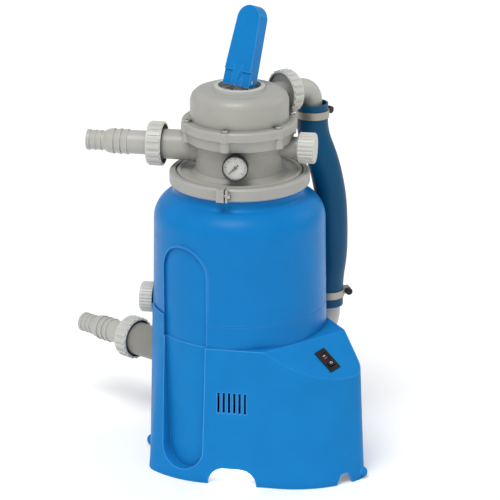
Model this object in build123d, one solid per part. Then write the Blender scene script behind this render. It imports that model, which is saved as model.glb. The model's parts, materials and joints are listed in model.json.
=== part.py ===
from build123d import *
import os
from math import acos, cos, degrees, radians, sin, tan

# Pump water filter: a sand filter tank on a pump base, with a six-way valve on top.
# Millimetres. The origin is on the floor, on the tank's axis. +Z is up, -Y is the vented front
# and -X is the side of the return hose tail. Directions in plan are degrees from +X towards +Y.

# ---- driving dimensions ----
DECK_Z = 225.0
DRAFT = 5.5
BASE_FRONT = 145.0
BASE_RING_R = 144.5
BASE_WALL = 4.0
STUD_R = 9.0
LOBE_ARC_X = 82.0
LOBE_ARC_Y = 12.0
LOBE_SPREAD = 4.5
LOBE_ARC_R = 157.0
LOBE_END_R = 30.0
LOBE_END_DIR = -40.0
LOBE_REAR_DIR = 36.0
SLOPE_X = 0.563
SLOPE_Y = -0.515
SLOPE_Z0 = 332.9

TANK_R_LOW = 138.0
TANK_R_TOP = 135.0
TANK_TOP_Z = 398.0
SHOULDER_R = 42.0
NECK_FILLET = 12.0
NECK_R = 103.0
FLANGE_R = 105.0
TANK_FACE_Z = 463.6
TANK_WALL = 3.0
SEAM_Z = 262.0

PANEL_DIR = -119.0
PANEL_HALF = 43.7
PANEL_SHIFT = -1.3
PANEL_TOP_Z = 336.0
POCKET_TOP = (-44.0, 43.5)
POCKET_FOOT = (-30.0, 41.5)
POCKET_LOW_Z = 53.75

CLAMP_R = 109.8
CLAMP_Z0 = 455.0
CLAMP_Z1 = 475.0
CLAMP_GAP = 2.4
LUG_LONG = 13.0
LUG_SHORT = 4.5
LUG_OUT = 120.0
BOLT_Y = 114.2

BODY_TOP_Z = 542.6
COVER_Z0 = 543.0
COVER_FLANGE_Z = 557.6
COVER_TOP_Z = 605.0
COVER_R = 90.0
DOME_R = 77.0
STEM_R = 10.0
KNUCKLE_R = 8.4
PIVOT_Z = 618.0
LIFT = 4.0
HANDLE_LEAN = 19.0
HANDLE_DIR = 62.0
HANDLE_LENGTH = 117.0
HANDLE_THICK = 20.0
FOOT_FRONT = 7.5
KEEL_FRONT = 14.0

RETURN_Z = 509.0
WASTE_Z = 515.0
GAUGE_Z = 504.0
GAUGE_DIR = -83.0
TOP_PORT_Z = 584.0
TOP_PORT_END = 91.5
TOP_PORT_DIR = 50.0
DRAIN_Z = 252.0
DRAIN_END = 153.5

PUMP_Z = 136.0
PUMP_DIR = -29.0
VOLUTE_S = 46.0
DISCHARGE_Z = 175.0
DISCHARGE_T = 163.0
FOOT_SHIFT = 3.7
ELBOW_START = 58.0
UNION_END = 132.0
SUCTION_END = 232.0
THREAD_R = 28.0
THREAD_LONG = 4.5
TAIL_LONG = 112.0
TAIL_TIP_R = 16.2
TAIL_TIP_LONG = 5.5
FIT = 0.08
HOSE_R = 25.0
HOSE_BORE = 22.0


# ---- helpers ----
def polar(radius, direction, centre=(0.0, 0.0)):
    """A plan point at a radius and direction from a centre."""
    return (centre[0] + radius * cos(radians(direction)), centre[1] + radius * sin(radians(direction)))


def facing(direction, z, distance=0.0):
    """A plane whose normal points outwards along a plan direction."""
    x, y = polar(distance, direction)
    across = polar(1.0, direction + 90)
    return Plane(origin=(x, y, z), x_dir=(across[0], across[1], 0), z_dir=(*polar(1.0, direction), 0))


def turned(*points):
    """A solid of revolution about Z from (radius, height) points."""
    return revolve(Plane.XZ * make_face(Polyline(*points, close=True)), Axis.Z)


def disc(radius, low, high, bore=0.0):
    """A cylinder or ring about Z between two heights."""
    body = Pos(0, 0, (low + high) / 2) * Cylinder(radius, high - low)
    if bore:
        body -= Pos(0, 0, (low + high) / 2) * Cylinder(bore, high - low + 2)
    return body


def block(x0, x1, y0, y1, z0, z1):
    """A box between two corners."""
    return Pos((x0 + x1) / 2, (y0 + y1) / 2, (z0 + z1) / 2) * Box(x1 - x0, y1 - y0, z1 - z0)


def fluted(outer, inner, count, low, high, bore=0.0):
    """A hand-grip ring with straight flutes."""
    points = []
    for tooth in range(count):
        start = tooth * 360 / count
        for radius, share in ((inner, 0.0), (outer, 0.12), (outer, 0.5), (inner, 0.62)):
            points.append(polar(radius, start + share * 360 / count))
    body = Pos(0, 0, low) * extrude(make_face(Polyline(*points, close=True)), high - low)
    if bore:
        body -= disc(bore, low - 1, high + 1)
    return body


def torus(ring, section, z):
    """An O-ring about Z."""
    return Pos(0, 0, z) * Torus(ring, section)


def save(node, shape):
    """Write one node's STEP file."""
    if isinstance(shape, (list, tuple)):
        shape = Compound(children=list(shape))
    shape.label = node
    export_step(shape, "parts/" + node + ".step")


# ---- base housing ----
def base_outline(level, thickness, z):
    """The base's plan outline: level 0 is the floor, 1 is the deck."""
    inset = DRAFT * level + thickness
    front = BASE_FRONT - inset
    ring = BASE_RING_R - inset + 0.5 * level
    big = LOBE_ARC_R - inset
    end = LOBE_END_R - inset
    arc = (LOBE_ARC_X + LOBE_SPREAD * (1 - level), LOBE_ARC_Y)
    end_centre = polar(LOBE_ARC_R - LOBE_END_R, LOBE_END_DIR, arc)
    rear = polar(end, LOBE_REAR_DIR, end_centre)
    reach = rear[0] * cos(radians(LOBE_REAR_DIR)) + rear[1] * sin(radians(LOBE_REAR_DIR))
    meet = LOBE_REAR_DIR - degrees(acos(reach / ring))

    def corner(floor_radius, floor_direction, deck_direction):
        radius = floor_radius + (BASE_RING_R - DRAFT + 0.5 - floor_radius) * level - thickness
        return polar(radius, floor_direction + (deck_direction - floor_direction) * level)

    points = [
        (-24.0, -front),
        (arc[0], -front),
        polar(big, LOBE_END_DIR, arc),
        rear,
        polar(ring, meet),
        polar(ring, 102.5),
        polar(ring, 191),
        corner(157.0, 214.1, 212.0),
        corner(163.2, 223.7, 223.0),
    ]
    middles = [
        None,
        polar(big, -65, arc),
        polar(end, -2, end_centre),
        None,
        polar(ring, (meet + 102.5) / 2),
        polar(ring, 146.75),
        corner(148.1, 203.1, 201.5),
        corner(162.4, 218.7, 217.5),
        corner(155.0, 242.3, 241.0),
    ]
    edges = []
    for index, middle in enumerate(middles):
        start = points[index]
        end_point = points[(index + 1) % len(points)]
        if middle is None:
            edges.append(Line(start, end_point))
        else:
            edges.append(ThreePointArc(start, middle, end_point))
    return Pos(0, 0, z) * make_face(Curve() + edges)


def base_loft(thickness, low, high):
    """The base's drafted body, inset by a wall thickness."""
    return loft(
        [base_outline(low / DECK_Z, thickness, low), base_outline(high / DECK_Z, thickness, high)],
        ruled=True,
    )


def slope_plane(drop):
    """The lobe's sloping top, lowered along Z by drop."""
    x, y = polar(180.0, PUMP_DIR)
    z = SLOPE_Z0 - SLOPE_X * x - SLOPE_Y * y - drop
    return Plane(origin=(x, y, z), x_dir=(0.7893, -0.3945, -0.4705), z_dir=(SLOPE_X, SLOPE_Y, 1.0))


def above_slope(drop):
    """Everything above the sloping top."""
    return slope_plane(drop) * Pos(0, 0, 150) * Box(700, 700, 300)


def panel_tool(floor_radius, grow):
    """The tall recessed panel of the tank, down to a cylinder about the tank's axis."""
    half = PANEL_HALF + grow
    profile = Pos(PANEL_SHIFT, (215 + PANEL_TOP_Z) / 2) * Rectangle(2 * half, PANEL_TOP_Z - 215)
    profile += Pos(PANEL_SHIFT, PANEL_TOP_Z) * Circle(half)
    tool = extrude(facing(PANEL_DIR, 0, 60.0) * profile, 160)
    return tool - Pos(0, 0, 200) * Cylinder(floor_radius, 900)


def pocket_tool(deck_radius, foot_radius, grow):
    """The recess in the base, narrower at its round foot, down to a cone about the tank's axis."""
    left, right = POCKET_FOOT
    corners = (
        (POCKET_TOP[0] - grow, 260), (left - grow, POCKET_LOW_Z), (right + grow, POCKET_LOW_Z),
        (POCKET_TOP[1] + grow, 260),
    )
    profile = make_face(Polyline(*corners, close=True))
    profile += Pos((left + right) / 2, POCKET_LOW_Z) * Circle((right - left) / 2 + grow)
    tool = extrude(facing(PANEL_DIR, 0, 60.0) * profile, 160)
    slant = (foot_radius - deck_radius) / DECK_Z
    core = turned((0, -10), (foot_radius + 10 * slant, -10), (deck_radius - 75 * slant, DECK_Z + 75), (0, DECK_Z + 75))
    return tool - core


def pump_plane(distance=0.0):
    """Local Z runs along the pump shaft towards the motor, local Y is up."""
    return facing(PUMP_DIR, PUMP_Z, distance)


POSTS = [polar(124.0, direction) for direction in (15.3, 110.9, 190.8, 284.3)]
ARCH_X = 15.7
GLAND_DIR = 100.0
GLAND_Z = 62.0


def arch_tool(width, height, corner, low=-5.0):
    """A rounded arch in local XY, standing on local y = 0."""
    face = Pos(0, (height + low) / 2) * Rectangle(width, height - low)
    tops = face.vertices().sort_by(Axis.Y)[-2:]
    return fillet(tops, corner)


def base_housing():
    """Blue shell with deck, lobe, vents, arches and recessed panel."""
    shell = base_loft(0, 0, DECK_Z) - above_slope(0)
    on_slope = slope_plane(0)
    rim = []
    for edge in shell.edges():
        offset = Vector(*edge.center()) - on_slope.origin
        if abs(offset.dot(on_slope.z_dir)) < 0.5:
            rim.append(edge)
    shell = fillet(rim, 3.0)
    outer = shell
    cavity = base_loft(BASE_WALL, 0, DECK_Z - BASE_WALL) - above_slope(5.2)
    cavity -= pocket_tool(131.5, 136.0, BASE_WALL)
    shell = shell - cavity
    shell -= pocket_tool(135.0, 139.5, 0)
    tongue = disc(140.4, DECK_Z - 3, 260, bore=138.4)
    sector = make_face(Polyline((0, 0), polar(220, 200.5), polar(220, 212), polar(220, 222.3), close=True))
    shell += tongue & (Pos(0, 0, DECK_Z - 3) * extrude(sector, 40))
    for x, y in POSTS:
        shell += (Pos(x, y, (38 + DECK_Z - 2) / 2) * Cylinder(6, DECK_Z - 2 - 38)) & outer
    for x, y in POSTS:
        shell -= Pos(x, y, 48) * Cylinder(1.9, 24)
    shell -= disc(117.5, DECK_Z - 30, DECK_Z + 10)
    for slot in range(6):
        shell -= block(-8.0 + slot * 8.4, -4.2 + slot * 8.4, -160, -125, 120, 154)
    front_arch = extrude(Plane(origin=(ARCH_X, -100, 0), x_dir=(1, 0, 0), z_dir=(0, -1, 0)) * arch_tool(77, 27, 26), 70)
    shell -= front_arch
    shell -= Rot(0, 0, 180) * Pos(2 * ARCH_X, 0, 0) * front_arch
    notch = make_face(Polyline((-17, -5), (-6, 18), (6, 18), (17, -5), close=True))
    notch = fillet(notch.vertices().sort_by(Axis.Y)[-2:], 4.5)
    shell -= extrude(facing(-48.0, 0, 150.0) * Pos(69.5, 0) * notch, 60)
    shell -= pump_plane() * disc(31.5, -200, -80)
    shell -= facing(61.0, DISCHARGE_Z) * Pos(-VOLUTE_S - 2.7, 0, 0) * disc(22.5, 100, 200)
    shell -= facing(GLAND_DIR, GLAND_Z) * disc(8.05, 120, 160)
    shell -= switch_plane() * block(-18.2, 18.2, -8.8, 8.8, -12, 8)
    for direction, reach, centre in ((185.5, 147.6, (0.0, 0.0)), (-12.0, 33.2, (183.1, -69.6))):
        x, y = polar(reach - 4.5, direction, centre)
        shell += Pos(x, y, STUD_R + 0.5) * Sphere(STUD_R) - cavity
    return shell


def switch_plane():
    """The rocker switch's seat on the sloping top."""
    x, y = 156.0, -88.5
    z = SLOPE_Z0 - SLOPE_X * x - SLOPE_Y * y
    return Plane(origin=(x, y, z), x_dir=(0.7893, -0.3945, -0.4705 * 1.375), z_dir=(SLOPE_X, SLOPE_Y, 1.0))


def rocker_bezel():
    """Black switch frame with a well for the rocker."""
    body = block(-20, 20, -11, 11, 0, 2.2) + block(-18, 18, -8.6, 8.6, -10, 0.5)
    body -= block(-13.2, 13.2, -6.4, 6.4, -8.5, 6)
    return switch_plane() * body


def rocker():
    """Rocker, shallow V on top, pressed down at its upper end."""
    body = Pos(0, 0, -0.6) * Rot(90, 0, 0) * Cylinder(13.0, 12.4)
    body = body & block(-13, 13, -6.2, 6.2, -3.2, 3.6)
    dip = Plane.XZ * make_face(Polyline((-14, 5), (-14, 3.6), (0, 1.2), (14, 3.6), (14, 5), close=True))
    body -= extrude(dip, 10, both=True)
    return switch_plane() * Pos(0, 0, -0.6) * Rot(0, -9, 0) * Pos(0, 0, 0.6) * body


def cable_gland():
    """Screwed gland in the rear wall, with nothing in its bore."""
    hexagon = Pos(0, 0, 143.5) * extrude(RegularPolygon(11.5, 6), 7)
    body = disc(8.0, 130, 143.6) + hexagon + turned((0, 150), (9.5, 150), (7.2, 161), (0, 161))
    return facing(GLAND_DIR, GLAND_Z) * (body - disc(3.6, 120, 170))


def pump_tray():
    """Tray under the pump, with a hollow foot on the floor at the origin."""
    plate = extrude(base_outline(0.15, 10.0, 34.0), 4)
    plate -= pocket_tool(127.0, 127.0, 9)
    plate += turned((0, 0), (30, 0), (30, 36), (26, 36), (26, 3), (0, 3))
    for x, y in POSTS:
        plate -= Pos(x, y, 36) * Cylinder(2.3, 10)
    return plate


def tray_screws():
    """Screws up through the tray into the posts."""
    shank = Pos(0, 0, 44) * Cylinder(1.9, 20)
    head = Pos(0, 0, 32.6) * Cylinder(4.2, 2.8)
    return [Pos(x, y, 0) * (shank + head) for x, y in POSTS]


# ---- tank and its contents ----
def tank():
    """Blue tank with a dished bottom, a domed shoulder, a clamp flange and a drain boss."""
    centre = (TANK_R_TOP - SHOULDER_R, TANK_TOP_Z)
    across = NECK_R + NECK_FILLET - centre[0]
    lift = degrees(acos(across / (SHOULDER_R + NECK_FILLET)))
    crook = polar(SHOULDER_R + NECK_FILLET, lift, centre)
    foot = polar(SHOULDER_R, lift, centre)
    neck = (NECK_R, crook[1])
    inner = SHOULDER_R - TANK_WALL
    outline = [
        Polyline((0, 209), (70, 211), (112, 219), (116.5, 223), (116.5, DECK_Z), (TANK_R_LOW, DECK_Z)),
        Line((TANK_R_LOW, DECK_Z), (TANK_R_TOP, TANK_TOP_Z)),
        ThreePointArc((TANK_R_TOP, TANK_TOP_Z), polar(SHOULDER_R, lift / 2, centre), foot),
        ThreePointArc(foot, polar(NECK_FILLET, 180 + lift / 2, crook), neck),
        Polyline(
            neck, (NECK_R, 457.2), (FLANGE_R, 457.2), (FLANGE_R, TANK_FACE_Z), (99.4, TANK_FACE_Z),
            (99.4, 460.8), (94.6, 460.8), (94.6, TANK_FACE_Z), (90, TANK_FACE_Z), (90, centre[1] + inner),
            (centre[0], centre[1] + inner),
        ),
        ThreePointArc((centre[0], centre[1] + inner), polar(inner, 45, centre), (centre[0] + inner, centre[1])),
        Polyline((centre[0] + inner, centre[1]), (135, 229), (118, 229), (110, 223.5), (70, 214.5), (0, 212.5), (0, 209)),
    ]
    body = revolve(Plane.XZ * make_face(Curve() + outline), Axis.Z)
    pocket = panel_tool(130.5, TANK_WALL)
    inner_face = disc(TANK_R_LOW - 0.5, 229, PANEL_TOP_Z + 47, bore=130.5)
    body += pocket & inner_face
    body -= panel_tool(133.5, 0)
    body -= disc(150, SEAM_Z - 0.5, SEAM_Z + 0.5, bore=136.9)
    body += facing(180, DRAIN_Z) * disc(17.0, 131, DRAIN_END)
    body -= facing(180, DRAIN_Z) * disc(11.0, 120, 158)
    return body


def drain_seal():
    return facing(180, DRAIN_Z) * disc(16.8, DRAIN_END, DRAIN_END + 1.8)


def drain_cap():
    """Fluted drain cap."""
    body = fluted(24.5, 23.3, 28, 138.6, 158) + disc(22.5, 158, 160)
    body -= disc(17.0 + FIT, 138, DRAIN_END + 1.9)
    body -= disc(21.5, 138, 146)
    return facing(180, DRAIN_Z) * body


LATERAL_Z = 244.0
LATERALS = 8


def lateral_hub():
    """Collector at the foot of the standpipe, with a socket for each lateral."""
    body = disc(26, 230, 262) - disc(20, 234, 258) - disc(16.1, 255, 265)
    for direction in range(LATERALS):
        body += facing(direction * 360 / LATERALS + 22.5, LATERAL_Z) * disc(10.5, 22, 32)
    for direction in range(LATERALS):
        body -= facing(direction * 360 / LATERALS + 22.5, LATERAL_Z) * disc(8.0, 15, 33)
    return body


def laterals():
    """Slotted collector fingers."""
    finger = disc(8.0, 24, 106, bore=6.2) + disc(8.0, 105, 108)
    for slot in range(7):
        finger -= block(-9, 9, 3.5, 9, 40 + slot * 9, 41.2 + slot * 9)
    return [facing(number * 360 / LATERALS + 22.5, LATERAL_Z) * finger for number in range(LATERALS)]


def standpipe():
    """Centre pipe from the collector up into the valve."""
    return disc(16.0, 258.0, 494.0, bore=14.0)


def sand_bed():
    """Filter sand above the collector, levelled, around the standpipe."""
    return turned((16.2, 270), (128, 270), (128, 372), (40, 380), (16.2, 380))


def diffuser():
    """Slotted cup that spreads water over the sand."""
    body = disc(58, 434, 463) - disc(55, 437, 465) - disc(16.3, 430, 440)
    for direction in range(18):
        body -= Rot(0, 0, direction * 20) * block(50, 60, -1.5, 1.5, 440, 458)
    body += disc(62, 461, 464, bore=55)
    return body


# ---- clamp ----
def clamp_half(side):
    """Half of the two-part ring that holds the valve on the tank. Side is -1 for left, 1 for right."""
    ring = turned((103.3, 455), (CLAMP_R - 2, CLAMP_Z0), (CLAMP_R, 457), (CLAMP_R, 472.5),
                  (CLAMP_R - 2.5, CLAMP_Z1), (100.5, CLAMP_Z1), (100.5, 472.3), (105.5, 472.3),
                  (105.5, 456.9), (103.3, 456.9))
    ring += block(-LUG_LONG, LUG_SHORT, -LUG_OUT, -105.8, 457, 476.5)
    ring += block(-LUG_SHORT, LUG_LONG, 105.8, LUG_OUT, 457, 476.5)
    half = block(0, 140, -140, 140, 440, 490)
    if side < 0:
        half = Rot(0, 0, 180) * half
    ring = ring & half
    ring -= block(-CLAMP_GAP / 2, CLAMP_GAP / 2, -140, 140, 440, 490)
    for y, turn in ((-BOLT_Y, 90), (BOLT_Y, -90)):
        holes = disc(2.6, -30, 30) + disc(4.9, -LUG_LONG - 1, -LUG_LONG + 4.2)
        ring -= Pos(0, y, 466) * Rot(0, turn, 0) * holes
    return ring


def clamp_bolts():
    """Two bolts across the clamp's lugs, with their nuts sunk in the long lugs."""
    pieces = []
    for y, turn in ((-BOLT_Y, 90), (BOLT_Y, -90)):
        bolt = disc(2.5, -LUG_LONG, LUG_SHORT) + Pos(0, 0, LUG_SHORT) * extrude(RegularPolygon(5.0, 6), 3.5)
        nut = Pos(0, 0, -LUG_LONG + 0.2) * extrude(RegularPolygon(4.7, 6), 4.0) - disc(2.5, -30, 0)
        pieces.append(Pos(0, y, 466) * Rot(0, turn, 0) * bolt)
        pieces.append(Pos(0, y, 466) * Rot(0, turn, 0) * nut)
    return pieces


# ---- valve ----
SCREW_R = 83.0
SCREW_DIRS = [-94.0 + 60.0 * number for number in range(6)]


def valve_body():
    """Valve bowl: six chambers over a floor, side ports, and a flange at each end."""
    body = turned(
        (0, 464), (FLANGE_R, 464), (FLANGE_R, 471.8), (99, 471.8), (97, 476), (92, 476), (90, 473), (75, 473),
        (70, 478), (68, 490), (68, 512), (72, 519), (83.5, 526), (86, 541), (86, BODY_TOP_Z), (0, BODY_TOP_Z),
    )
    for direction in SCREW_DIRS:
        body += Pos(*polar(SCREW_R, direction), 534.8) * Cylinder(8.5, 15.6)
    body += facing(180, RETURN_Z) * (disc(23.5, 60, UNION_END) + disc(26, 63, 72))
    body += facing(180, RETURN_Z) * disc(THREAD_R, UNION_END - THREAD_LONG, UNION_END)
    body += facing(0, WASTE_Z) * (disc(16.5, 60, 95) + disc(20.0, 92.5, 115))
    body += facing(GAUGE_DIR, GAUGE_Z) * disc(11.0, 60, 79)
    body -= disc(62.2, 463, 494)
    body -= disc(62.0, 499, 545)
    body -= disc(70.6, 540.0, 545) - disc(67.4, 539, 546)
    hub = disc(20.0, 464, 531)
    body += hub
    for direction in range(30, 390, 60):
        body += Rot(0, 0, direction) * block(18, 63, -1.6, 1.6, 496, 531)
    body -= disc(16.1, 463, 494.1)
    body -= disc(14.0, 490, 540)
    for direction in (0, 120, 240):
        body -= Rot(0, 0, direction) * (disc(56, 490, 500, bore=26) & block(10, 60, -17, 17, 490, 500))
    body -= facing(180, RETURN_Z) * disc(17.0, 40, 145)
    body -= facing(0, WASTE_Z) * disc(12.0, 40, 120)
    body -= facing(GAUGE_DIR, GAUGE_Z) * disc(5.0, 50, 82)
    for direction in SCREW_DIRS:
        body -= Pos(*polar(SCREW_R, direction), 535.8) * Cylinder(2.5, 16)
    return body


def spider_gasket():
    """Spoked rubber gasket on top of the chamber ribs."""
    body = disc(61.5, 531, 533.4, bore=57) + disc(20, 531, 533.4, bore=14)
    for direction in range(0, 360, 60):
        body += Rot(0, 0, direction + 30) * block(17, 59, -2.4, 2.4, 531, 533.4)
    return body


def rotor():
    """Diverter that opens one chamber to the dome. It stands lifted off the gasket."""
    low = 533.7 + LIFT
    body = disc(60, low, low + 6) + turned((0, low), (24, low), (20, low + 26), (0, low + 26))
    body -= (disc(54, low - 1, low + 8, bore=25) & block(10, 58, -20, 20, low - 1, low + 8))
    body += disc(60, low, low + 12, bore=56.5)
    body -= disc(STEM_R, low + 8, 600)
    return body


def stem():
    """Stem from the rotor to the handle."""
    body = disc(STEM_R, 533.7 + LIFT + 8, 606.5) + disc(KNUCKLE_R, 606, PIVOT_Z)
    across = Pos(0, 0, PIVOT_Z) * Rot(0, 0, HANDLE_DIR) * Rot(90, 0, 0)
    body += across * Cylinder(KNUCKLE_R, 2 * KNUCKLE_R - 2)
    body -= across * Cylinder(3.0, 30)
    return body


def handle_pin():
    """Pivot pin across the stem."""
    return Pos(0, 0, PIVOT_Z) * Rot(0, 0, HANDLE_DIR) * Rot(90, 0, 0) * Cylinder(3.0, 50)


def spring_seat():
    """Washer between the spring and the rotor. It rises with the rotor but doesn't turn."""
    return disc(21, 564.0, 566.8, bore=STEM_R + FIT)


def rotor_spring():
    """Coil spring that presses the rotor down."""
    coils = Helix(pitch=4.44, height=22.2, radius=15.5, center=(0, 0, 568.3))
    section = Plane(origin=coils @ 0, z_dir=coils % 0) * Circle(1.3)
    return sweep(section, path=coils, is_frenet=True)


def stem_seal():
    """O-ring gland insert round the stem, in the cover's neck."""
    return disc(14.0, 598.2, 602.0, bore=STEM_R + FIT)


def valve_cover():
    """Domed cover with a flange, a neck for the stem and the pump port."""
    body = turned((0, COVER_Z0), (COVER_R - 1, COVER_Z0), (COVER_R, COVER_Z0 + 1), (COVER_R, COVER_FLANGE_Z - 2),
                  (COVER_R - 2, COVER_FLANGE_Z), (DOME_R, COVER_FLANGE_Z), (DOME_R, 589), (DOME_R - 3, 597),
                  (DOME_R - 9, 602.5), (DOME_R - 16, COVER_TOP_Z), (0, COVER_TOP_Z))
    for direction in SCREW_DIRS:
        body += Pos(*polar(SCREW_R, direction), (COVER_Z0 + COVER_FLANGE_Z) / 2) * Cylinder(10, 14.6)
    port = disc(18.0, 60, TOP_PORT_END) + disc(THREAD_R, TOP_PORT_END - THREAD_LONG, TOP_PORT_END)
    body -= facing(TOP_PORT_DIR, TOP_PORT_Z) * disc(35.6, 82.5, 130)
    body += facing(TOP_PORT_DIR, TOP_PORT_Z) * port
    cavity = turned((0, 542), (66.0, 542), (66.0, 548), (72, 553), (72, 586), (62, 600), (0, 600))
    body -= cavity
    body += disc(22, 592, 604, bore=5)
    body -= disc(33.0, 602.2, 610)
    body -= disc(14.0, 598.2, 603)
    body -= disc(STEM_R + FIT, 580, 610)
    body -= facing(TOP_PORT_DIR, TOP_PORT_Z) * disc(14.0, 45, 95)
    for direction in SCREW_DIRS:
        body -= Pos(*polar(SCREW_R, direction), 550) * Cylinder(2.6, 20)
    return body


def position_ring():
    """Raised ring round the handle's foot, with a shallow mark at each of the six positions."""
    body = turned((33.4, COVER_TOP_Z), (41, COVER_TOP_Z), (39.6, 610.4), (38.6, 611.2), (33.4, 611.2))
    for direction in range(0, 360, 60):
        body -= Rot(0, 0, direction + HANDLE_DIR) * block(33, 42, -0.8, 0.8, 610.4, 616)
    return body


def flange_seals():
    """O-rings under the cover and between the tank and the valve."""
    return [torus(69.0, 1.5, 541.5), torus(97.0, 1.6, 462.4)]


def cover_screws():
    """Six screws through the cover's bosses into the valve body."""
    screw = disc(2.5, 530, COVER_FLANGE_Z) + disc(5.2, COVER_FLANGE_Z, 561.4)
    screw -= block(-3.5, 3.5, -0.7, 0.7, 560.2, 562) + block(-0.7, 0.7, -3.5, 3.5, 560.2, 562)
    return [Pos(*polar(SCREW_R, direction), 0) * screw for direction in SCREW_DIRS]


def handle():
    """Blade on a hollow foot, open at the back. Local X runs along the pin and local Z along the blade."""
    top = HANDLE_LENGTH
    half = HANDLE_THICK / 2
    outline = Polyline((-26, 0), (26, 0), (25.5, 18), (22, top - 22), (-22, top - 22), (-25.5, 18), close=True)
    blade = make_face(outline) + Pos(0, top - 22) * Circle(22)
    body = extrude(Plane(origin=(0, half, 0), x_dir=(1, 0, 0), z_dir=(0, -1, 0)) * blade, HANDLE_THICK)
    body -= block(-30, 30, -half - 1, -FOOT_FRONT, -1, 14)
    body += Rot(0, 90, 0) * Cylinder(FOOT_FRONT, 52)
    body += block(-26, 26, -FOOT_FRONT, 2, -9, 14)
    plan = make_face(Polyline((-13, -5), (-4.5, -KEEL_FRONT), (4.5, -KEEL_FRONT), (13, -5), close=True))
    side = make_face(Polyline((-4, -9), (-KEEL_FRONT, -9), (-KEEL_FRONT, 8), (-half, 26), (-4, 26), close=True))
    body += Pos(0, 0, -9) * extrude(plan, 35) & Pos(-20, 0, 0) * extrude(Plane.YZ * side, 40)
    body -= block(-9, 9, -9.6, 20, -20, 0)
    body -= block(-9, 9, 0, 20, -1, 9)
    body -= Rot(0, 90, 0) * Cylinder(9.6, 18)
    body -= Rot(0, 90, 0) * Cylinder(3.0 + FIT, 60)
    body -= block(-15, 15, half - 4.5, 20, 30, top - 26)
    return Pos(0, 0, PIVOT_Z) * Rot(0, 0, HANDLE_DIR - 90) * Rot(-HANDLE_LEAN, 0, 0) * body


# ---- pressure gauge ----
def gauge_case():
    """Gauge cup with its threaded stem."""
    body = turned((0, 79.5), (17, 79.5), (20, 82), (20, 96), (18.6, 96), (18.6, 83), (1.08, 83), (1.08, 81), (0, 81))
    body += disc(5.0, 64, 80)
    return facing(GAUGE_DIR, GAUGE_Z) * body


def gauge_dial():
    return facing(GAUGE_DIR, GAUGE_Z) * disc(18.4, 87.0, 88.0, bore=1.2)


def gauge_needle():
    """Pointer on its spindle, resting at the low end of the dial."""
    body = disc(1.0, 81.2, 90.6) + disc(2.6, 89.4, 90.6)
    pointer = make_face(Polyline((-1.6, 5), (-0.5, -14.5), (0.5, -14.5), (1.6, 5), close=True))
    body += Pos(0, 0, 89.6) * Rot(0, 0, -45) * extrude(pointer, 0.9)
    return facing(GAUGE_DIR, GAUGE_Z) * body


def gauge_lens():
    return facing(GAUGE_DIR, GAUGE_Z) * disc(18.6, 93.0, 94.6)


# ---- unions and hose tails ----
def union_nut(end, back):
    """Fluted union nut round a threaded end. Its open back starts back millimetres behind the end."""
    body = fluted(35.0, 32.8, 20, end - back + 1.5, end + 9.5) + disc(33.2, end - back, end + 12)
    body -= disc(31.0, end - back - 1, end - THREAD_LONG + 0.5)
    body -= disc(THREAD_R + FIT, end - back - 1, end + 7.4)
    body -= disc(20.1, end, end + 13)
    return body


def union_flange(end):
    """Flange that the nut pulls against the seal, and the neck through the nut."""
    return disc(27.6, end + 1.5, end + 7.2) + disc(20.0, end + 7, end + 14)


def hose_tail(end):
    """Stepped tail for 38 mm and 32 mm hose, with barbs."""
    profile = [(0, end + 13), (18.8, end + 13)]
    for barb in range(3):
        start = end + 45 + barb * 11
        profile += [(18.6, start), (20.4, start), (18.4, start + 11)]
    profile += [(14.8, end + 84)]
    for barb in range(2):
        start = end + 87.5 + barb * 9.5
        profile += [(14.8, start), (16.2, start), (14.8, start + 9)]
    tip = end + TAIL_LONG
    profile += [(14.8, tip - TAIL_TIP_LONG), (TAIL_TIP_R, tip - TAIL_TIP_LONG), (TAIL_TIP_R, tip), (0, tip)]
    return union_flange(end) + turned(*profile) - disc(13.0, end, tip + 5)


def union_seals():
    """Flat washers of the three unions."""
    places = ((180, RETURN_Z, UNION_END), (PUMP_DIR + 180, PUMP_Z, SUCTION_END), (TOP_PORT_DIR, TOP_PORT_Z, TOP_PORT_END))
    return [facing(direction, z) * disc(27.0, end, end + 1.5, bore=18.5) for direction, z, end in places]


def waste_cap():
    """Fluted cap on the waste port."""
    body = fluted(24.2, 23.0, 24, 95.6, 118.5) + disc(22.6, 95, 120.0)
    body -= disc(20.0 + FIT, 94, 116.9)
    return facing(0, WASTE_Z) * body


def waste_seal():
    return facing(0, WASTE_Z) * disc(19.8, 115.0, 116.8)


# ---- hose ----
HOSE_TOP = polar(148.5, TOP_PORT_DIR)
HOSE_FOOT = polar(DISCHARGE_T, PUMP_DIR + 90, polar(VOLUTE_S + FOOT_SHIFT, PUMP_DIR))


def hose_route():
    """The hose bows out round the tank between its two vertical spigots."""
    return [
        (*HOSE_TOP, 556.0),
        (*HOSE_TOP, 507.0),
        (*polar(159.9, 43.0), 456.0),
        (*polar(168.0, 40.5), 402.0),
        (*polar(169.4, 39.7), 350.0),
        (*polar(171.0, 40.8), 304.0),
        (*HOSE_FOOT, 262.0),
        (*HOSE_FOOT, 216.0),
    ]


def route_radii(points):
    """An arc at each corner, as large as its two runs allow."""
    radii = []
    for before, corner, after in zip(points, points[1:], points[2:]):
        first = Vector(*corner) - Vector(*before)
        second = Vector(*after) - Vector(*corner)
        turn = radians(first.get_angle(second))
        radii.append(0.45 * min(first.length, second.length) / tan(turn / 2))
    return radii


def filter_hose():
    """Blue hose from the pump to the valve."""
    points = hose_route()
    radii = route_radii(points)
    print("hose radii", [round(radius) for radius in radii])
    path = FilletPolyline(*points, radius=radii)
    section = Plane(origin=path @ 0, z_dir=path % 0) * (Circle(HOSE_R) - Circle(HOSE_BORE))
    hose = sweep(section, path=path)
    print("hose volume over section times length", round(hose.volume / (section.area * path.length), 4))
    return hose


BAND_SCREW_X = 32.5


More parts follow.
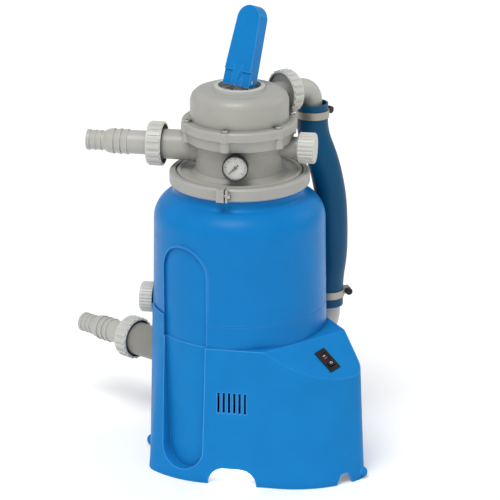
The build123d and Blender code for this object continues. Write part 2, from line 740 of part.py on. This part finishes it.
def band_places():
    """Centre, height and screw direction of each hose clamp."""
    return ((HOSE_TOP, 539.0, 62.0), (HOSE_FOOT, 237.0, 30.0))


def hose_clamps():
    """Bands with a screw housing, one at each end of the hose."""
    bands = []
    for centre, height, direction in band_places():
        band = disc(26.8, -6, 6, bore=HOSE_R + 0.05)
        band += Rot(0, 0, direction) * block(26, 37, -7, 7, -5, 5)
        band -= disc(HOSE_R + 0.05, -8, 8)
        band -= Rot(0, 0, direction) * Pos(BAND_SCREW_X, 0, 0) * Rot(90, 0, 0) * Cylinder(2.5 + FIT, 40)
        bands.append(Pos(*centre, height) * band)
    return bands


def clamp_screw(index):
    """Thumb screw of one hose clamp."""
    centre, height, direction = band_places()[index]
    screw = disc(2.5, -8, 8) + fluted(5.8, 5.2, 12, 7.2, 14)
    return Pos(*centre, height) * Rot(0, 0, direction) * Pos(BAND_SCREW_X, 0, 0) * Rot(90, 0, 0) * screw


def swept_pipe(path, outer, inner):
    """Round pipe along a path."""
    ring = Plane(origin=path @ 0, z_dir=path % 0) * (Circle(outer) - Circle(inner))
    return sweep(ring, path=path)


def top_elbow():
    """Elbow from the cover's port down into the hose."""
    start = polar(TOP_PORT_END + 4, TOP_PORT_DIR)
    corner = (*HOSE_TOP, TOP_PORT_Z)
    path = FilletPolyline((*start, TOP_PORT_Z), corner, (*HOSE_TOP, 546.0), radius=26.0)
    body = swept_pipe(path, 15.4, 13.0)
    body += Pos(*HOSE_TOP, 0) * turned((13, 531), (20, 531), (HOSE_BORE, 534), (HOSE_BORE, 543), (15.4, 548), (13, 548))
    end = TOP_PORT_END
    flange = disc(27.6, end + 1.5, end + 7.2, bore=13.0) + disc(20.0, end + 7, end + 14, bore=13.0)
    body += facing(TOP_PORT_DIR, TOP_PORT_Z) * flange
    return body


def discharge_elbow():
    """Elbow from the pump through the rear wall and up into the hose."""
    out = polar(1.0, PUMP_DIR + 90)
    nozzle = polar(VOLUTE_S, PUMP_DIR)
    start = (nozzle[0] + out[0] * ELBOW_START, nozzle[1] + out[1] * ELBOW_START, DISCHARGE_Z)
    knee = (nozzle[0] + out[0] * 74.0, nozzle[1] + out[1] * 74.0, DISCHARGE_Z)
    path = FilletPolyline(start, knee, (*HOSE_FOOT, DISCHARGE_Z), (*HOSE_FOOT, 216.0), radius=[120.0, 30.0])
    body = swept_pipe(path, 20.0, 14.0)
    body += Pos(*HOSE_FOOT, 0) * turned((14, 212), (20, 212), (HOSE_BORE, 216), (HOSE_BORE, 237), (20, 241), (14, 241))
    return body


# ---- pump ----
def volute():
    """Pump volute with its suction pipe, discharge socket and foot."""
    body = disc(58, 22, 64)
    body += disc(24, -150, 30) + disc(27.0, -SUCTION_END, -100)
    body += disc(THREAD_R, -SUCTION_END, THREAD_LONG - SUCTION_END)
    body += Pos(0, DISCHARGE_Z - PUMP_Z, VOLUTE_S) * Rot(0, 90, 0) * (disc(17.9, 0, 56) + disc(24, 55.5, 66))
    body += block(-22, 22, -(PUMP_Z - 38), -40, 30, 56)
    body -= disc(50, 29, 65)
    body -= disc(17, -SUCTION_END - 5, 30)
    body -= Pos(0, DISCHARGE_Z - PUMP_Z, VOLUTE_S) * Rot(0, 90, 0) * disc(14, 0, 70)
    body -= Pos(0, DISCHARGE_Z - PUMP_Z, VOLUTE_S) * Rot(0, 90, 0) * disc(20.0, 58, 70)
    return pump_plane() * body


def impeller():
    """Closed impeller with curved vanes between two shrouds."""
    body = disc(44, 43, 46) + disc(44, 33, 35, bore=18) + disc(11, 35, 53)
    for number in range(6):
        vane = make_face(Polyline((10, -1), (26, 5), (42, 14), (41, 17), (25, 8), (10, 2), close=True))
        body += Rot(0, 0, number * 60) * Pos(0, 0, 34.5) * extrude(vane, 9)
    body -= disc(5.0, 36, 60)
    return pump_plane() * body


def shaft():
    """Pump shaft, stepped down for the impeller."""
    return pump_plane() * (disc(5.0, 38, 54) + disc(7.0, 54, 179))


def seal_plate():
    """Plate between the volute and the motor."""
    body = disc(57, 64, 70) + disc(49.9, 58, 64.1) - disc(12.0, 50, 75)
    return pump_plane() * body


def shaft_seal():
    return pump_plane() * disc(12.0, 57, 69, bore=7.0 + FIT)


def motor_casing():
    """Finned motor casing, closed at both ends round the bearings."""
    body = fluted(44.0, 41.5, 30, 70, 168) - disc(37.0, 76, 162)
    body += disc(18, 75, 82) + disc(18, 156, 163)
    body -= disc(12.0, 60, 83) + disc(12.0, 155, 180)
    return pump_plane() * body


def bearings():
    """Ball bearings in the casing's ends, as rings."""
    rings = [disc(12.0, 72, 82, bore=7.0 + FIT), disc(12.0, 156, 166, bore=7.0 + FIT)]
    return [pump_plane() * ring for ring in rings]


def stator():
    """Stator stack with its winding heads."""
    body = disc(36.9, 96, 140, bore=23.0) + disc(34, 89, 97, bore=26) + disc(34, 139, 147, bore=26)
    return pump_plane() * body


def motor_rotor():
    return pump_plane() * disc(22.0, 97, 139, bore=7.0)


def cooling_fan():
    """Fan on the shaft's tail."""
    body = disc(11, 170, 178)
    for number in range(7):
        body += Rot(0, 0, number * 360 / 7) * Pos(0, 0, 170) * extrude(Pos(21, 0) * Rot(0, 0, 18) * Rectangle(22, 2), 7)
    return pump_plane() * (body - disc(7.0, 165, 182))


def fan_cover():
    """Louvred cover round the fan."""
    body = disc(36.5, 168, 183) - disc(34.5, 167, 181.4)
    for ring in range(3):
        body -= disc(15 + ring * 7, 180, 185, bore=11 + ring * 7) - block(-2, 2, -50, 50, 179, 186)
    return pump_plane() * body


def motor_saddles():
    """Two saddles that carry the motor on the tray."""
    saddles = []
    for place in (90, 142):
        saddle = block(-30, 30, -(PUMP_Z - 38), -20, place, place + 12) - disc(44.0, 80, 170)
        saddles.append(pump_plane() * saddle)
    return saddles


NODES = {
    "base_housing": base_housing, "rocker_bezel": rocker_bezel, "rocker": rocker, "cable_gland": cable_gland,
    "pump_tray": pump_tray, "tray_screws": tray_screws, "tank": tank, "drain_seal": drain_seal,
    "drain_cap": drain_cap, "lateral_hub": lateral_hub, "laterals": laterals, "standpipe": standpipe,
    "sand_bed": sand_bed, "diffuser": diffuser, "flange_seals": flange_seals, "clamp_bolts": clamp_bolts,
    "valve_body": valve_body, "spider_gasket": spider_gasket, "rotor": rotor,
    "stem": stem, "handle_pin": handle_pin, "spring_seat": spring_seat, "rotor_spring": rotor_spring,
    "stem_seal": stem_seal, "valve_cover": valve_cover, "position_ring": position_ring,
    "cover_screws": cover_screws, "handle": handle, "gauge_case": gauge_case,
    "gauge_dial": gauge_dial, "gauge_needle": gauge_needle, "gauge_lens": gauge_lens,
    "union_seals": union_seals, "waste_cap": waste_cap, "waste_seal": waste_seal,
    "filter_hose": filter_hose, "hose_clamps": hose_clamps, "top_elbow": top_elbow,
    "discharge_elbow": discharge_elbow, "volute": volute, "impeller": impeller, "shaft": shaft,
    "seal_plate": seal_plate, "shaft_seal": shaft_seal, "motor_casing": motor_casing, "bearings": bearings,
    "stator": stator, "motor_rotor": motor_rotor, "cooling_fan": cooling_fan, "fan_cover": fan_cover,
    "motor_saddles": motor_saddles,
}

os.makedirs("parts", exist_ok=True)
for name, build in NODES.items():
    save(name, build())
save("clamp_left", clamp_half(-1))
save("clamp_right", clamp_half(1))
save("return_nut", facing(180, RETURN_Z) * union_nut(UNION_END, 12))
save("return_tail", facing(180, RETURN_Z) * hose_tail(UNION_END))
save("suction_nut", facing(PUMP_DIR + 180, PUMP_Z) * union_nut(SUCTION_END, 12))
save("suction_tail", facing(PUMP_DIR + 180, PUMP_Z) * hose_tail(SUCTION_END))
save("top_nut", facing(TOP_PORT_DIR, TOP_PORT_Z) * union_nut(TOP_PORT_END, 8))
save("clamp_screw_top", clamp_screw(0))
save("clamp_screw_foot", clamp_screw(1))
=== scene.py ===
import json
from math import atan, cos, radians, sin

import bmesh
import bpy
from mathutils import Matrix, Vector

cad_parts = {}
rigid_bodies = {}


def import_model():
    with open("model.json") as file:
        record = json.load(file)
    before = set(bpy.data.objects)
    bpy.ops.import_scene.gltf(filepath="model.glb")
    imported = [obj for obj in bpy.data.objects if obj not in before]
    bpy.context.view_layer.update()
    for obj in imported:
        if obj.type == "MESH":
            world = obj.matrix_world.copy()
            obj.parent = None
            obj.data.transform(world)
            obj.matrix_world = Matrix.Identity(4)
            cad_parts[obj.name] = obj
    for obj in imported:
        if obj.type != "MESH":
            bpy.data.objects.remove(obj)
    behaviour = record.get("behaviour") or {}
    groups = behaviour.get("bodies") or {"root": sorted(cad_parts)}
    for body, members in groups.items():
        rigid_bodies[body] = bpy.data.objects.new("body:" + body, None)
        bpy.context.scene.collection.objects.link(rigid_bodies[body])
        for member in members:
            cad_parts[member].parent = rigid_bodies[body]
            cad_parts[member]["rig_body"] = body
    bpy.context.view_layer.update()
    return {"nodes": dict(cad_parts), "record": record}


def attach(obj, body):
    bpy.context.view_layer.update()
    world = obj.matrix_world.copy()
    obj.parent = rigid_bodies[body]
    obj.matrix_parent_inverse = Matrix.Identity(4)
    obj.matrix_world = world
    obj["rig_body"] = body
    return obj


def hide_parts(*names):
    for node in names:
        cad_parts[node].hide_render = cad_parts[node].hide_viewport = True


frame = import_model()

# Metres in Blender; every size below is in millimetres and is scaled by MM where a mesh is made.
MM = 0.001

# ---- meshes: weld distance in metres, angles in degrees ----
WELD = 2e-6
FLAT_ANGLE = 0.1
SHARP_ANGLE = 30.0
PLATE_ANGLE = 35.0

# ---- places, as in the CAD model ----
GAUGE_Z = 504.0
GAUGE_DIR = -83.0
SLOPE_X = 0.563
SLOPE_Y = -0.515
SLOPE_Z0 = 332.9
SWITCH_X = 156.0
SWITCH_Y = -88.5
SWITCH_LONG_AXIS = (0.7893, -0.3945, -0.6469)
ROCKER_DIP = 2.4 / 14.0
ROCKER_PIVOT_Z = -0.6
ROCKER_REST = -9.0
MARK_X = 8.0

# ---- gauge dial, heights from the tank's axis ----
DIAL_FACE = 87.95
DIAL_PRINT = 0.2
POINTER_BACK = 89.5
POINTER_FRONT = 90.6
GAUGE_REST = 225.0
GAUGE_SWEEP = 270.0
SCALE_STEPS = 24
MARK_R_OUT = 16.6

# ---- camera, in metres and degrees ----
CAMERA_AZ = 11.0
CAMERA_EL = 19.2
CAMERA_DISTANCE = 4.0
CAMERA_LENS = 182.3
SENSOR_WIDTH = 36.0
TARGET = Vector((0.0159, 0.0031, 0.3405))


# ---- mesh helpers ----
def polar(radius, direction, centre=(0.0, 0.0)):
    """A plan point at a radius and direction from a centre."""
    return (centre[0] + radius * cos(radians(direction)), centre[1] + radius * sin(radians(direction)))


def facing(direction, z, distance=0.0):
    """Local Z points outwards along a plan direction, local Y is up."""
    c, s = cos(radians(direction)), sin(radians(direction))
    rows = ((-s, 0, c, distance * c), (c, 0, s, distance * s), (0, 1, 0, z), (0, 0, 0, 1))
    return Matrix(rows)


def finish_mesh(piece, place):
    """Puts a millimetre mesh in the frame, in metres, with smooth faces and sharp edges past an angle."""
    piece.data.transform(Matrix.Scale(MM, 4) @ place)
    if place.determinant() < 0:
        piece.data.flip_normals()
    piece.data.shade_smooth()
    piece.data.set_sharp_from_angle(angle=radians(PLATE_ANGLE))
    return piece


def new_piece(name, verts, faces):
    """An object from lists of points and faces, welded and with its normals outwards."""
    mesh = bpy.data.meshes.new(name)
    mesh.from_pydata(verts, [], faces)
    piece = bpy.data.objects.new(name, mesh)
    bpy.context.scene.collection.objects.link(piece)
    work = bmesh.new()
    work.from_mesh(mesh)
    bmesh.ops.remove_doubles(work, verts=work.verts, dist=1e-4)
    bmesh.ops.recalc_face_normals(work, faces=work.faces)
    work.to_mesh(mesh)
    work.free()
    return piece


def refined(node, width):
    """A mesh made from a CAD node's shape, welded, with its sharp edges rounded."""
    source = frame["nodes"][node]
    mesh = source.data.copy()
    mesh.materials.clear()
    piece = bpy.data.objects.new(node + "_skin", mesh)
    bpy.context.scene.collection.objects.link(piece)
    work = bmesh.new()
    work.from_mesh(mesh)
    bmesh.ops.remove_doubles(work, verts=work.verts, dist=WELD)
    bmesh.ops.dissolve_limit(work, angle_limit=radians(FLAT_ANGLE), verts=work.verts, edges=work.edges)
    work.to_mesh(mesh)
    work.free()
    bevel = piece.modifiers.new("edges", "BEVEL")
    bevel.width = width * MM
    bevel.segments = 3
    bevel.limit_method = "ANGLE"
    bevel.angle_limit = radians(SHARP_ANGLE)
    bevel.use_clamp_overlap = True
    bevel.miter_outer = "MITER_ARC"
    normal = piece.modifiers.new("normals", "WEIGHTED_NORMAL")
    normal.keep_sharp = True
    mesh.shade_smooth()
    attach(piece, source["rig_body"])
    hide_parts(node)
    return piece


# ---- materials ----
def node_tree(name):
    """A new material, its node tree and its shader."""
    material = bpy.data.materials.new(name)
    material.use_nodes = True
    shader = material.node_tree.nodes["Principled BSDF"]
    return material, material.node_tree, shader


def noise(tree, scale, detail=3.0, rough=0.5):
    """Noise in the object's own space, so it rides with a moving part."""
    place = tree.nodes.get("place")
    if place is None:
        place = tree.nodes.new("ShaderNodeTexCoord")
        place.name = "place"
    node = tree.nodes.new("ShaderNodeTexNoise")
    node.inputs["Scale"].default_value = scale
    node.inputs["Detail"].default_value = detail
    node.inputs["Roughness"].default_value = rough
    tree.links.new(place.outputs["Object"], node.inputs["Vector"])
    return node


def spread(tree, source, low, high, start=0.3, end=0.7):
    """Maps a noise value to a range."""
    node = tree.nodes.new("ShaderNodeMapRange")
    node.inputs["From Min"].default_value = start
    node.inputs["From Max"].default_value = end
    node.inputs["To Min"].default_value = low
    node.inputs["To Max"].default_value = high
    tree.links.new(source, node.inputs["Value"])
    return node.outputs["Result"]


def edge_turn(tree):
    """One on smooth faces, less within two or three millimetres of an edge: the mask of the painted edge
    highlight.
    """
    rounded = tree.nodes.new("ShaderNodeBevel")
    rounded.samples = 4
    rounded.inputs["Radius"].default_value = 0.0028
    shape = tree.nodes.new("ShaderNodeNewGeometry")
    turn = tree.nodes.new("ShaderNodeVectorMath")
    turn.operation = "DOT_PRODUCT"
    tree.links.new(rounded.outputs["Normal"], turn.inputs[0])
    tree.links.new(shape.outputs["Normal"], turn.inputs[1])
    return turn.outputs["Value"]


def plastic(
    name, colour, rough=0.35, grain=1500.0, depth=0.00002, swirl=0.04, gloss=0.5, edge=0.12, crevice_shade=0.45,
):
    """Moulded plastic: cloudy colour, fine texture, painted highlights on edges, painted shade in crevices
    and uneven gloss.
    """
    material, tree, shader = node_tree(name)
    cloud = noise(tree, 22.0, 4.0)
    mix = tree.nodes.new("ShaderNodeMix")
    mix.data_type = "RGBA"
    mix.inputs["A"].default_value = (*[c * (1 - swirl) for c in colour], 1)
    mix.inputs["B"].default_value = (*[min(1, c * (1 + swirl)) for c in colour], 1)
    tree.links.new(spread(tree, cloud.outputs["Fac"], 0, 1), mix.inputs["Factor"])
    # Painted highlight: within about three millimetres of an edge the colour is mixed towards a paler,
    # brighter blue or grey.
    painted_edge_highlight = tree.nodes.new("ShaderNodeMix")
    painted_edge_highlight.data_type = "RGBA"
    painted_edge_highlight.inputs["B"].default_value = (*[min(1, c * 1.5 + 0.08) for c in colour], 1)
    tree.links.new(mix.outputs["Result"], painted_edge_highlight.inputs["A"])
    tree.links.new(spread(tree, edge_turn(tree), edge, 0, 0.9, 0.997), painted_edge_highlight.inputs["Factor"])
    # Painted shade: the colour darkens where ambient occlusion finds other surfaces within two centimetres,
    # in gaps, hollows and under overhangs.
    painted_crevice_shade = tree.nodes.new("ShaderNodeMix")
    painted_crevice_shade.data_type = "RGBA"
    painted_crevice_shade.inputs["A"].default_value = (*[c * (1 - crevice_shade) for c in colour], 1)
    tree.links.new(painted_edge_highlight.outputs["Result"], painted_crevice_shade.inputs["B"])
    hollow = tree.nodes.new("ShaderNodeAmbientOcclusion")
    hollow.samples = 6
    hollow.inputs["Distance"].default_value = 0.02
    tree.links.new(spread(tree, hollow.outputs["AO"], 0, 1, 0.15, 0.75), painted_crevice_shade.inputs["Factor"])
    tree.links.new(painted_crevice_shade.outputs["Result"], shader.inputs["Base Color"])
    scuff = noise(tree, 60.0, 6.0, 0.65)
    gloss_range = spread(tree, scuff.outputs["Fac"], rough - 0.05, rough + 0.07)
    tree.links.new(gloss_range, shader.inputs["Roughness"])
    fine = noise(tree, grain, 2.0)
    bump = tree.nodes.new("ShaderNodeBump")
    bump.inputs["Strength"].default_value = 0.5
    bump.inputs["Distance"].default_value = depth
    tree.links.new(fine.outputs["Fac"], bump.inputs["Height"])
    tree.links.new(bump.outputs["Normal"], shader.inputs["Normal"])
    shader.inputs["IOR"].default_value = 1.5
    shader.inputs["Specular IOR Level"].default_value = gloss
    return material


def metal(name, colour, rough=0.3, lines=260.0):
    """Drawn or machined metal with fine lines."""
    material, tree, shader = node_tree(name)
    shader.inputs["Metallic"].default_value = 1.0
    grain = noise(tree, lines, 5.0, 0.6)
    mix = tree.nodes.new("ShaderNodeMix")
    mix.data_type = "RGBA"
    mix.inputs["A"].default_value = (*[c * 0.85 for c in colour], 1)
    mix.inputs["B"].default_value = (*colour, 1)
    tree.links.new(spread(tree, grain.outputs["Fac"], 0, 1), mix.inputs["Factor"])
    tree.links.new(mix.outputs["Result"], shader.inputs["Base Color"])
    tree.links.new(spread(tree, grain.outputs["Fac"], rough - 0.06, rough + 0.1), shader.inputs["Roughness"])
    bump = tree.nodes.new("ShaderNodeBump")
    bump.inputs["Strength"].default_value = 0.4
    bump.inputs["Distance"].default_value = 0.00002
    tree.links.new(grain.outputs["Fac"], bump.inputs["Height"])
    tree.links.new(bump.outputs["Normal"], shader.inputs["Normal"])
    return material


def clear_lens(name):
    """Clear gauge window with faint scuffs."""
    material, tree, shader = node_tree(name)
    shader.inputs["Base Color"].default_value = (0.95, 0.97, 0.97, 1)
    shader.inputs["Alpha"].default_value = 0.1
    scuff = noise(tree, 140.0, 4.0)
    tree.links.new(spread(tree, scuff.outputs["Fac"], 0.04, 0.1), shader.inputs["Roughness"])
    return material


def grit(name, colour):
    """Loose quartz sand."""
    material, tree, shader = node_tree(name)
    grain = noise(tree, 900.0, 3.0)
    mix = tree.nodes.new("ShaderNodeMix")
    mix.data_type = "RGBA"
    mix.inputs["A"].default_value = (*[c * 0.6 for c in colour], 1)
    mix.inputs["B"].default_value = (*colour, 1)
    tree.links.new(spread(tree, grain.outputs["Fac"], 0, 1), mix.inputs["Factor"])
    tree.links.new(mix.outputs["Result"], shader.inputs["Base Color"])
    shader.inputs["Roughness"].default_value = 0.95
    return material


# The plastics below carry painted edge highlights and painted shade in crevices, set by their edge and
# crevice values or by the defaults.
MATERIALS = {
    "base_blue": plastic("base_blue", (0.008, 0.212, 0.555), 0.42, 1400.0, 0.00004, gloss=0.07, edge=0.85),
    "tank_blue": plastic("tank_blue", (0.005, 0.200, 0.545), 0.32, 500.0, 0.00003, gloss=0.1, edge=0.6),
    "handle_blue": plastic("handle_blue", (0.001, 0.212, 0.580), 0.26, 900.0, 0.00002, gloss=0.22, edge=0.5),
    "valve_grey": plastic("valve_grey", (0.400, 0.400, 0.360), 0.38, edge=0.3, crevice_shade=0.6),
    "clamp_grey": plastic("clamp_grey", (0.390, 0.385, 0.360), 0.42, edge=0.3, crevice_shade=0.5),
    "pump_grey": plastic("pump_grey", (0.100, 0.105, 0.110), 0.45),
    "black_plastic": plastic("black_plastic", (0.010, 0.010, 0.011), 0.35, gloss=0.3),
    "inner_white": plastic("inner_white", (0.700, 0.700, 0.660), 0.4),
    "hose_blue": plastic("hose_blue", (0.001, 0.072, 0.165), 0.42, 700.0, 0.00005, gloss=0.2, edge=0.3),
    "seal_rubber": plastic("seal_rubber", (0.020, 0.020, 0.020), 0.7),
    "steel": metal("steel", (0.560, 0.545, 0.510), 0.3),
    "motor_metal": metal("motor_metal", (0.400, 0.410, 0.420), 0.45),
    "iron": metal("iron", (0.250, 0.240, 0.230), 0.5),
    "dial_white": plastic("dial_white", (0.860, 0.840, 0.800), 0.5, 300.0, 0.00001, 0.01, crevice_shade=0.1),
    "lens": clear_lens("lens"),
    "sand": grit("sand", (0.620, 0.500, 0.330)),
}
FITTING = plastic("fitting_grey", (0.560, 0.560, 0.520), 0.36, edge=0.35, crevice_shade=0.6)
PIPE = plastic("pipe_grey", (0.470, 0.470, 0.430), 0.36, edge=0.35, crevice_shade=0.6)
# Painted shade: the volute and its spigot get a darker copy of the valve grey, standing for the shade they
# sit in next to the nut and the base.
SHADED_SPIGOT = plastic("shaded_spigot_grey", (0.270, 0.255, 0.225), 0.42, edge=0.3, crevice_shade=0.6)
BAND = metal("band_steel", (0.480, 0.455, 0.400), 0.5)
RED = plastic("signal_red", (0.300, 0.020, 0.015), 0.3)
CAPS_AND_NUTS = ("waste_cap", "drain_cap", "return_nut", "suction_nut", "top_nut", "position_ring")
PIPES = ("return_tail", "suction_tail", "top_elbow", "discharge_elbow")
SLOT_OF = {entry["node"]: entry["material_slot"] for entry in frame["record"]["subparts"]}


def dress(piece, slot, material=None):
    """Gives a new piece the material of a record slot, or a shade of it."""
    piece.data.materials.clear()
    piece.data.materials.append(material or MATERIALS[slot])
    return piece


def shade_of(node):
    """Fittings are paler than the valve, the pump's spigots get a darker copy of the grey as painted shade,
    and the bands are duller than the screws.
    """
    if node in CAPS_AND_NUTS:
        return FITTING
    if node in PIPES:
        return PIPE
    if node == "volute":
        return SHADED_SPIGOT
    if node == "hose_clamps":
        return BAND
    return MATERIALS[SLOT_OF[node]]


for node, piece in frame["nodes"].items():
    for index in range(len(piece.material_slots)):
        piece.material_slots[index].link = "OBJECT"
        piece.material_slots[index].material = shade_of(node)

# Edge radius of each visible shape, in millimetres.
EDGE_RADIUS = {
    "base_housing": 1.2, "tank": 1.2, "valve_body": 0.8, "valve_cover": 0.9, "clamp_left": 0.7,
    "clamp_right": 0.7, "handle": 1.5, "rocker_bezel": 0.5, "rocker": 0.4, "waste_cap": 0.5,
    "drain_cap": 0.5, "return_nut": 0.6, "return_tail": 0.4, "suction_nut": 0.6, "suction_tail": 0.4,
    "top_nut": 0.6, "top_elbow": 0.4, "position_ring": 0.5, "gauge_case": 0.5, "filter_hose": 0.6,
    "hose_clamps": 0.4, "clamp_screw_top": 0.4, "clamp_screw_foot": 0.4, "cable_gland": 0.4,
    "volute": 0.8,
}

for node, width in EDGE_RADIUS.items():
    dress(refined(node, width), SLOT_OF[node], shade_of(node))


# ---- gauge needle and dial marks ----
def plates(name, outlines, low, high, place):
    """Thin plates: each outline is a closed list of plan points, between two heights."""
    verts = []
    faces = []
    for outline in outlines:
        start = len(verts)
        count = len(outline)
        verts += [(x, y, low) for x, y in outline]
        verts += [(x, y, high) for x, y in outline]
        faces.append(tuple(start + index for index in reversed(range(count))))
        faces.append(tuple(start + count + index for index in range(count)))
        for index in range(count):
            after = (index + 1) % count
            faces.append((start + index, start + after, start + count + after, start + count + index))
    return finish_mesh(new_piece(name, verts, faces), place)


def bar(width, inner, outer, direction):
    """A radial bar's outline."""
    c, s = cos(radians(direction)), sin(radians(direction))
    corners = ((inner, -width / 2), (outer, -width / 2), (outer, width / 2), (inner, width / 2))
    return [(r * c - t * s, r * s + t * c) for r, t in corners]


def gauge_details():
    """A tapered pointer on a boss, and a scale of bars round the dial."""
    place = facing(GAUGE_DIR, GAUGE_Z)
    turn = Matrix.Rotation(radians(GAUGE_REST), 4, "Z")
    boss = [polar(2.8, direction) for direction in range(30, 331, 15)]
    blade = [(13.4, 0.5), (13.8, 0.0), (13.4, -0.5), (2.4, -1.5)]
    tail = [(-6.0, -1.7), (-6.6, 0.0), (-6.0, 1.7)]
    outline = blade + boss[::-1][:11] + tail + boss[::-1][11:] + [(2.4, 1.5)]
    pointer = plates("pointer", [outline], POINTER_BACK, POINTER_FRONT, place @ turn)
    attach(pointer, frame["nodes"]["gauge_needle"]["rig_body"])
    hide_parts("gauge_needle")
    dress(pointer, "black_plastic")
    marks = []
    for number in range(SCALE_STEPS + 1):
        width, inner = (0.9, 12.6) if number % 4 == 0 else (0.45, 14.2)
        direction = GAUGE_REST - number * GAUGE_SWEEP / SCALE_STEPS
        marks.append(bar(width, inner, MARK_R_OUT, direction))
    scale = plates("dial_scale", marks, DIAL_FACE, DIAL_FACE + DIAL_PRINT, place)
    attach(scale, frame["nodes"]["gauge_dial"]["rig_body"])
    dress(scale, "black_plastic")


gauge_details()


# ---- switch marks ----
def switch_plane():
    """Local axes of the rocker switch on the sloping top."""
    z_axis = Vector((SLOPE_X, SLOPE_Y, 1.0)).normalized()
    x_axis = Vector(SWITCH_LONG_AXIS)
    x_axis = (x_axis - z_axis * x_axis.dot(z_axis)).normalized()
    y_axis = z_axis.cross(x_axis)
    seat = (SWITCH_X, SWITCH_Y, SLOPE_Z0 - SLOPE_X * SWITCH_X - SLOPE_Y * SWITCH_Y)
    rows = [(x_axis[i], y_axis[i], z_axis[i], seat[i]) for i in range(3)]
    return Matrix((*rows, (0, 0, 0, 1)))


def switch_marks():
    """A bar and a ring on the rocker's two halves, and a red window between them."""
    pivot = Matrix.Translation((0, 0, ROCKER_PIVOT_Z))
    rock = pivot @ Matrix.Rotation(radians(ROCKER_REST), 4, "Y") @ pivot.inverted()
    ring = []
    for turn in range(0, 360, 30):
        ring.append([polar(2.3, turn), polar(2.3, turn + 30), polar(1.6, turn + 30), polar(1.6, turn)])
    white = MATERIALS["dial_white"]
    for name, side, outlines, slot, material in (
        ("mark_bar", -1, [[(-0.5, -2.4), (0.5, -2.4), (0.5, 2.4), (-0.5, 2.4)]], "dial_white", white),
        ("mark_ring", 1, ring, "dial_white", white),
        ("mark_window", -1, [[(2.6, -3.4), (5.6, -3.4), (5.6, 3.4), (2.6, 3.4)]], "black_plastic", RED),
    ):
        height = Matrix.Translation((side * MARK_X, 0, 1.2 + MARK_X * ROCKER_DIP))
        tilt = height @ Matrix.Rotation(-side * atan(ROCKER_DIP), 4, "Y")
        mark = plates(name, outlines, -0.1, 0.12, switch_plane() @ rock @ tilt)
        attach(mark, frame["nodes"]["rocker"]["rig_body"])
        dress(mark, slot, material)


switch_marks()


# ---- camera, floor and light ----
def add_camera():
    """The camera, aimed at the target from its azimuth and elevation."""
    az, el = radians(CAMERA_AZ), radians(CAMERA_EL)
    back = Vector((sin(az) * cos(el), -cos(az) * cos(el), sin(el)))
    data = bpy.data.cameras.new("view")
    data.lens = CAMERA_LENS
    data.sensor_width = SENSOR_WIDTH
    data.clip_end = 50.0
    camera = bpy.data.objects.new("view", data)
    bpy.context.scene.collection.objects.link(camera)
    camera.location = TARGET + back * CAMERA_DISTANCE
    camera.rotation_euler = back.to_track_quat("Z", "Y").to_euler()
    bpy.context.scene.camera = camera


def add_floor():
    """A white floor that only belongs to the stage."""
    bpy.ops.mesh.primitive_plane_add(size=12.0, location=(0, 0, 0))
    floor = bpy.context.object
    floor.name = "floor"
    material, tree, shader = node_tree("floor")
    cloud = noise(tree, 3.0, 4.0)
    mix = tree.nodes.new("ShaderNodeMix")
    mix.data_type = "RGBA"
    mix.inputs["A"].default_value = (0.90, 0.90, 0.90, 1)
    mix.inputs["B"].default_value = (0.93, 0.93, 0.93, 1)
    tree.links.new(cloud.outputs["Fac"], mix.inputs["Factor"])
    tree.links.new(mix.outputs["Result"], shader.inputs["Base Color"])
    shader.inputs["Roughness"].default_value = 0.9
    shader.inputs["Emission Color"].default_value = (1, 1, 1, 1)
    shader.inputs["Emission Strength"].default_value = 0.16
    floor.data.materials.append(material)


def add_light(name, place, size, power, toward=(0, 0, 0.35)):
    """A square area light aimed at a point."""
    data = bpy.data.lights.new(name, "AREA")
    data.size = size
    data.energy = power
    light = bpy.data.objects.new(name, data)
    bpy.context.scene.collection.objects.link(light)
    light.location = place
    light.rotation_euler = (Vector(place) - Vector(toward)).to_track_quat("Z", "Y").to_euler()


def add_sun(name, azimuth, elevation, strength, angle):
    """A soft sun that shines from an azimuth, counted from the front towards the right, and an elevation."""
    data = bpy.data.lights.new(name, "SUN")
    data.energy = strength
    data.angle = radians(angle)
    light = bpy.data.objects.new(name, data)
    bpy.context.scene.collection.objects.link(light)
    az, el = radians(azimuth), radians(elevation)
    towards = Vector((sin(az) * cos(el), -cos(az) * cos(el), sin(el)))
    light.rotation_euler = towards.to_track_quat("Z", "Y").to_euler()


def add_world():
    """Even white light from all round."""
    world = bpy.data.worlds.new("studio")
    world.use_nodes = True
    world.node_tree.nodes["Background"].inputs["Color"].default_value = (1, 1, 1, 1)
    world.node_tree.nodes["Background"].inputs["Strength"].default_value = 0.5
    bpy.context.scene.world = world
    bpy.context.scene.view_settings.view_transform = "Standard"


add_camera()
add_floor()
add_world()
add_sun("key", -10.0, 62.0, 1.8, 30.0)
add_light("rim", (1.5, 0.9, 1.3), 0.8, 3.0)
add_light("under_tray", (0.02, -0.02, 0.032), 0.16, 0.35, toward=(0.02, -0.02, 0.0))
add_light("behind_vents", (0.015, -0.112, 0.16), 0.05, 0.02, toward=(0.015, -0.145, 0.137))
